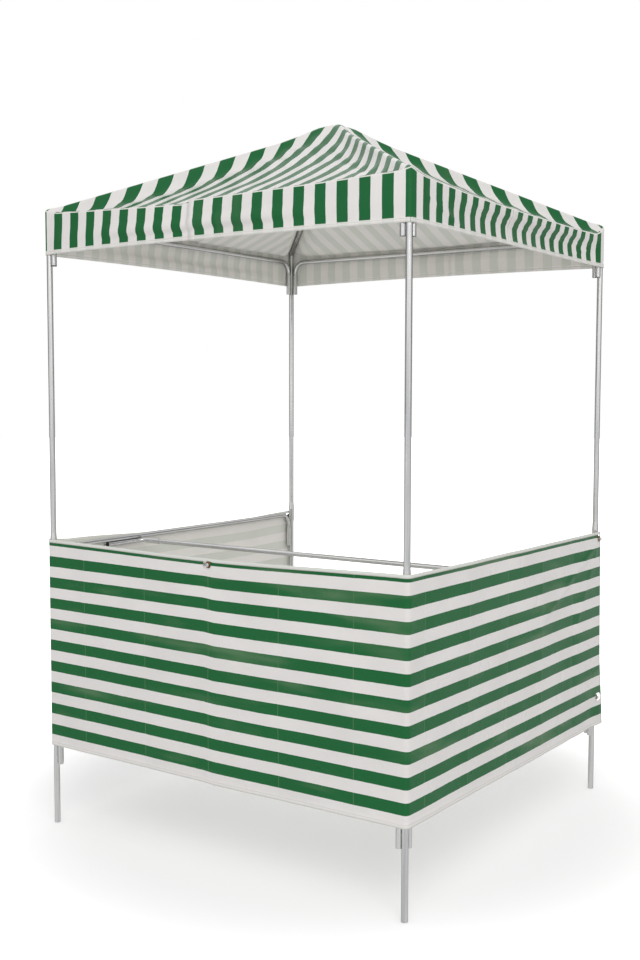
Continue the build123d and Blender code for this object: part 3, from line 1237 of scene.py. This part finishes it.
    def punch(self, shape: bmesh.types.BMesh, flat: dict) -> None:
        """Opens a hole for each eyelet, by parting the grid round its middle.

        Args:
            shape: the flat strip.
            flat: place along, height above ground, height on the strip and row of each corner.
        """
        for middle, level in self.holes():
            gaps = {v: math.hypot(flat[v][0] - middle, flat[v][1] - level) for v in flat}
            near = [vertex for vertex, gap in gaps.items() if gap < self.hole_reach]
            centre = min(near, key=gaps.get)
            near.remove(centre)
            for vertex in near:
                along, z, up, row = flat[vertex]
                gap = gaps[vertex]
                wanted = self.hole_radius + gap * (self.hole_reach - self.hole_radius) / self.hole_reach
                pushed = wanted / max(gap, 0.001)
                moved = level + (z - level) * pushed
                flat[vertex] = [middle + (along - middle) * pushed, moved, up + moved - z, row]
            del flat[centre]
            bmesh.ops.delete(shape, geom=[centre], context="VERTS")


@dataclass
class TubeFrame:
    """The posts, rails, rafters, hub and bar, which keep their CAD shapes."""

    finishes: dict[Run, bpy.types.Material]
    crossways: tuple[str, ...] = ("rail_front", "rail_back", "cross_bar", "bar_bracket")
    lengthways: tuple[str, ...] = ("rail_left", "rail_right")

    def run_of(self, name: str) -> Run:
        """Says which way a tube runs.

        Args:
            name: the tube's node.

        Returns:
            The way of its drawing marks.
        """
        if any(word in name for word in self.crossways):
            return Run.ALONG_X
        if any(word in name for word in self.lengthways):
            return Run.ALONG_Y
        return Run.ALONG_Z

    def dress(self) -> int:
        """Gives every tube its plated finish.

        Returns:
            The number of tubes dressed.
        """
        words = ("post", "rail", "rafter", "hub", "bar")
        names = [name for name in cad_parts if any(word in name for word in words)]
        for name in names:
            dress_node(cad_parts[name], self.finishes[self.run_of(name)])
        return len(names)


def dress_node(node: bpy.types.Object, material: bpy.types.Material) -> None:
    """Puts one finish on a CAD node.

    Args:
        node: the node's object.
        material: its finish.
    """
    if not node.material_slots:
        node.data.materials.append(material)
    for slot in node.material_slots:
        slot.material = material


@dataclass
class Fittings:
    """The eyelets of the skirt and the plugs in the open ends of the bracket arms."""

    eyelet: bpy.types.Material
    plug: bpy.types.Material

    def dress(self) -> int:
        """Gives the fittings their finishes.

        Returns:
            The number of fittings dressed.
        """
        names = [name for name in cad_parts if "eyelet" in name or "plug" in name]
        for name in names:
            dress_node(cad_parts[name], self.eyelet if "eyelet" in name else self.plug)
        return len(names)


@dataclass
class Studio:
    """A pale floor, soft light and the camera at the photograph's angle."""

    white: tuple[float, float, float, float] = (1.0, 1.0, 1.0, 1.0)
    floor_radius: float = 40.0
    floor_gap: float = 0.0005
    floor_colour: str = "#E9E9E9"
    floor_glow: float = 0.20
    floor_clear: tuple[float, float] = (0.9, 2.2)
    sky_strength: float = 0.80
    dim_walls: tuple[float, float] = (48.0, 199.0)
    wall_brightness: float = 0.30
    lamp_power: float = 130.0
    lamp_size: float = 4.0
    lamp_place: tuple[float, float, float] = (3.6, -4.6, 5.2)
    lamp_target: tuple[float, float, float] = (0.0, 0.0, 1.2)
    camera_place: tuple[float, float, float] = (2.517, -3.8, 1.599)
    camera_yaw: float = -34.3
    camera_pitch: float = -4.13
    camera_roll: float = 0.1
    focal_pixels: float = 1191.8
    image_height: int = 960
    sensor: float = 36.0

    def background_share(self, tree: bpy.types.NodeTree) -> bpy.types.NodeSocket:
        """Finds the rays that should see the plain white background.

        Args:
            tree: the world's node tree.

        Returns:
            A socket that is 1 for camera, glossy and transmission rays.
        """
        rays = add_node(tree, "LightPath").node.outputs
        direct = {0: rays["Is Camera Ray"], 1: rays["Is Glossy Ray"]}
        either = add_node(tree, "Math", direct, operation="MAXIMUM")
        return add_node(tree, "Math", {0: either, 1: rays["Is Transmission Ray"]}, operation="MAXIMUM")

    def floor(self) -> bpy.types.Object:
        """Lays the floor, which runs into the white background past the stall's shadow.

        Returns:
            The floor.
        """
        shape = bmesh.new()
        bmesh.ops.create_circle(shape, cap_ends=True, segments=96, radius=self.floor_radius)
        bmesh.ops.translate(shape, verts=shape.verts, vec=(0, 0, -self.floor_gap))
        material, tree = new_material("studio_floor")
        seen = add_node(tree, "LightPath", out="Is Camera Ray")
        spot = add_node(tree, "TexCoord", out="Object")
        reach = add_node(tree, "VectorMath", {0: spot}, "Value", operation="LENGTH")
        near, far = self.floor_clear
        spread = {"Value": reach, "From Min": near, "From Max": far, "To Min": self.floor_glow, "To Max": 1.0}
        rise = add_node(tree, "MapRange", spread, interpolation_type="SMOOTHSTEP")
        glow = add_node(tree, "Math", {0: seen, 1: rise}, operation="MULTIPLY")
        matt = add_node(tree, "BsdfDiffuse", {"Color": hex_to_linear(self.floor_colour)})
        light = add_node(tree, "Emission", {"Color": self.white, "Strength": glow})
        both = add_node(tree, "AddShader", {0: matt, 1: light})
        add_node(tree, "OutputMaterial", {0: both})
        floor = finished_object("studio_floor", shape, [material])
        return floor

    def seen_brightness(self, tree: bpy.types.NodeTree) -> bpy.types.NodeSocket:
        """Draws the dim walls on both sides of the backdrop, which only reflections show.

        Args:
            tree: the world's node tree.

        Returns:
            The socket that holds the brightness of the background.
        """
        way = add_node(tree, "TexCoord", out="Generated")
        facing = []
        for azimuth in self.dim_walls:
            turn = math.radians(azimuth)
            toward = {0: way, 1: (math.cos(turn), math.sin(turn), 0.0)}
            facing.append(add_node(tree, "VectorMath", toward, "Value", operation="DOT_PRODUCT"))
        nearest = add_node(tree, "Math", {0: facing[0], 1: facing[1]}, operation="MAXIMUM")
        spread = {"From Min": 0.70, "From Max": 0.92, "To Min": 1.0, "To Max": self.wall_brightness}
        wall = add_node(tree, "MapRange", {"Value": nearest} | spread, interpolation_type="SMOOTHSTEP")
        camera = add_node(tree, "LightPath", out="Is Camera Ray")
        return add_node(tree, "Math", {0: wall, 1: camera}, operation="MAXIMUM")

    def light(self) -> None:
        """Sets the sky and one large soft lamp."""
        world = bpy.data.worlds.new("studio")
        bpy.context.scene.world = world
        world.use_nodes = True
        tree = world.node_tree
        tree.nodes.clear()
        share = self.background_share(tree)
        sky = add_node(tree, "Background", {"Color": self.white, "Strength": self.sky_strength})
        plain = add_node(tree, "Background", {"Color": self.white, "Strength": self.seen_brightness(tree)})
        both = add_node(tree, "MixShader", {0: share, 1: sky, 2: plain})
        add_node(tree, "OutputWorld", {0: both})
        lamp = bpy.data.lights.new("soft_lamp", "AREA")
        lamp.energy = self.lamp_power
        lamp.size = self.lamp_size
        holder = bpy.data.objects.new("soft_lamp", lamp)
        holder.location = self.lamp_place
        aim = Vector(self.lamp_target) - Vector(self.lamp_place)
        holder.rotation_euler = aim.to_track_quat("-Z", "Y").to_euler()
        bpy.context.scene.collection.objects.link(holder)

    def camera(self) -> bpy.types.Object:
        """Places the camera at the photograph's viewing angle.

        Returns:
            The camera.
        """
        yaw = math.radians(self.camera_yaw)
        pitch = math.radians(self.camera_pitch)
        level = math.cos(pitch)
        look = Vector((math.sin(yaw) * level, math.cos(yaw) * level, math.sin(pitch)))
        right = Vector((math.cos(yaw), -math.sin(yaw), 0.0))
        up = right.cross(look)
        roll = Matrix.Rotation(math.radians(self.camera_roll), 3, -look)
        right = roll @ right
        up = roll @ up
        data = bpy.data.cameras.new("camera")
        data.sensor_width = self.sensor
        data.sensor_fit = "AUTO"
        data.lens = self.focal_pixels / self.image_height * self.sensor
        data.clip_end = 5 * self.floor_radius
        camera = bpy.data.objects.new("camera", data)
        turn = Matrix((right, up, -look)).transposed()
        camera.matrix_world = Matrix.Translation(self.camera_place) @ turn.to_4x4()
        bpy.context.scene.collection.objects.link(camera)
        bpy.context.scene.camera = camera
        bpy.context.scene.view_settings.view_transform = "Standard"
        return camera


def roof_sides() -> tuple[RoofSide, ...]:
    """Describes the four sides of the cover.

    Returns:
        Front, right, back and left.
    """
    outward: Points = ((0.0, 0.0), (0.30, 0.40), (0.57, 1.0), (0.64, 0.85), (0.76, 0.05), (1.0, 0.0))
    inward: Points = ((0.0, 0.0), (0.17, 0.16), (0.36, 0.72), (0.50, 1.0), (0.64, 0.96), (1.0, 0.72))
    front = RoofSide(
        name="front",
        quarter_turns=0,
        roof_green=0.0587,
        valance_green=0.0557,
        green_after_seam=0.0687,
        shoulder=(
            (0.0, 0.0), (0.03, 0.009), (0.07, 0.014), (0.683, 0.036),
            (0.685, 0.024), (1.20, 0.017), (1.49, 0.010), (1.527, 0.0),
        ),
        bulge=(
            (0.05, 0.0), (0.22, 0.002), (0.38, 0.009), (0.60, 0.011),
            (0.92, 0.012), (1.08, 0.006), (1.25, 0.001),
        ),
        hem_bulge=(
            (0.05, 0.006), (0.30, 0.007), (0.44, 0.002), (0.60, 0.0),
            (0.75, -0.003), (0.95, -0.004), (1.15, 0.0),
        ),
        bulge_down=outward,
    )
    right = RoofSide(
        name="right",
        quarter_turns=1,
        roof_green=0.0620,
        valance_green=0.0717,
        green_after_seam=0.0867,
        shoulder=(
            (0.0, 0.0), (0.03, 0.010), (0.08, 0.017), (0.30, 0.028), (0.50, 0.034),
            (0.80, 0.038), (1.25, 0.040), (1.44, 0.037), (1.49, 0.022), (1.527, 0.0),
        ),
        bulge=(
            (0.05, 0.0), (0.18, -0.002), (0.35, -0.010), (0.55, -0.019), (0.75, -0.025),
            (1.00, -0.028), (1.25, -0.024), (1.40, -0.013), (1.49, -0.002),
        ),
        hem_bulge=((0.05, 0.0), (1.5, 0.0)),
        bulge_down=inward,
        creases=(
            Crease((0.10, 0.095), (0.30, 0.035), 0.004, 0.008),
            Crease((0.16, 0.110), (0.24, 0.060), 0.003, 0.006),
            Crease((1.26, 0.040), (1.42, 0.085), 0.003, 0.008),
        ),
    )
    back = RoofSide(
        name="back",
        quarter_turns=2,
        roof_green=0.0560,
        valance_green=0.0600,
        green_after_seam=0.0740,
        shoulder=(
            (0.0, 0.0), (0.03, 0.010), (0.08, 0.018), (0.70, 0.036),
            (1.44, 0.020), (1.50, 0.010), (1.527, 0.0),
        ),
        bulge=((0.05, -0.002), (0.40, -0.012), (0.80, -0.017), (1.20, -0.010), (1.48, -0.002)),
        hem_bulge=((0.05, 0.0), (0.60, 0.008), (0.80, 0.010), (1.4, 0.0)),
        bulge_down=inward,
    )
    left = RoofSide(
        name="left",
        quarter_turns=3,
        roof_green=0.0600,
        valance_green=0.0590,
        green_after_seam=0.0470,
        shoulder=(
            (0.0, 0.0), (0.03, 0.010), (0.08, 0.017), (0.683, 0.034),
            (0.685, 0.027), (1.44, 0.016), (1.50, 0.008), (1.527, 0.0),
        ),
        bulge=((0.05, 0.0), (0.40, 0.008), (0.80, 0.011), (1.20, 0.006), (1.48, 0.001)),
        hem_bulge=((0.05, 0.0), (0.70, 0.004), (1.4, 0.002)),
        bulge_down=outward,
    )
    return (front, right, back, left)


@dataclass
class Stall:
    """The whole stall as it is dressed around the frame."""

    layout: Layout = field(default_factory=Layout.from_frame)

    def sheet_finishes(
        self, kind: str, pitch_mm: float, stripe_mm: float, fold_mm: float = 0.0
    ) -> list[bpy.types.Material]:
        """Makes the four finishes of a striped sheet.

        Args:
            kind: the piece that they are for.
            pitch_mm: distance from one green stripe to the next.
            stripe_mm: width of a green stripe.
            fold_mm: distance between the folds left by packing, along which painted highlight lines are
                drawn, or 0 where none show.

        Returns:
            Outer sheet, outer hem, inner sheet and inner hem.
        """
        stripes = {"pitch_mm": pitch_mm, "stripe_mm": stripe_mm}
        # Share of the painted sheen on the green stripes
        painted_sheen = 0.36 if fold_mm else 0.10
        outer = StripedSheet(f"{kind}_coated_sheet", fold_mm=fold_mm, painted_sheen_share=painted_sheen, **stripes)
        hem = StitchedHem(f"{kind}_stitched_hem", **stripes)
        # The inner face is uncoated, so it is duller, and the print only shows through it. Its ground is
        # painted lighter than the outer face, as painted light that comes through the sheet, so its faint
        # stripes are partly the print and partly painted shade where the print holds that light back.
        ground, through, shade = "#F0EDE8", "#DFE1D9", "#E4E4DD"
        inner = StripedSheet(
            f"{kind}_sheet_inner_face",
            ground=ground, stripe=through, painted_sheen=through, roughness=0.62, **stripes,
        )
        inner_hem = StitchedHem(
            f"{kind}_hem_inner_face", ground=ground, shown_through=shade, roughness=0.6, **stripes
        )
        return [finish.material() for finish in (outer, hem, inner, inner_hem)]

    def build(self) -> None:
        """Builds and dresses every piece and reports it."""
        cover = RoofCover(self.layout, roof_sides()).build(self.sheet_finishes("roof", 80.0, 40.0))
        log.info("%s: %d faces", cover.name, len(cover.data.polygons))
        skirt = Skirt(self.layout)
        folds_mm = 1000 * skirt.length() / skirt.folds
        strip = skirt.build(self.sheet_finishes("skirt", 1000 * skirt.pitch, 39.0, folds_mm))
        log.info("%s: %d faces, strip %.3f m long", strip.name, len(strip.data.polygons), skirt.length())
        tubes = TubeFrame({run: PlatedSteel(run).material() for run in Run})
        log.info("tube frame: %d tubes dressed", tubes.dress())
        fittings = Fittings(PressedBrass().material(), MouldedPlug().material())
        log.info("fittings: %d dressed", fittings.dress())


def main() -> None:
    """Builds the stall and the studio in order."""
    logging.basicConfig(level=logging.INFO, format="%(name)s: %(message)s")
    Stall().build()
    studio = Studio()
    studio.floor()
    studio.light()
    studio.camera()
    log.info("studio: floor, sky, lamp and camera set")


if __name__ == "__main__":
    main()
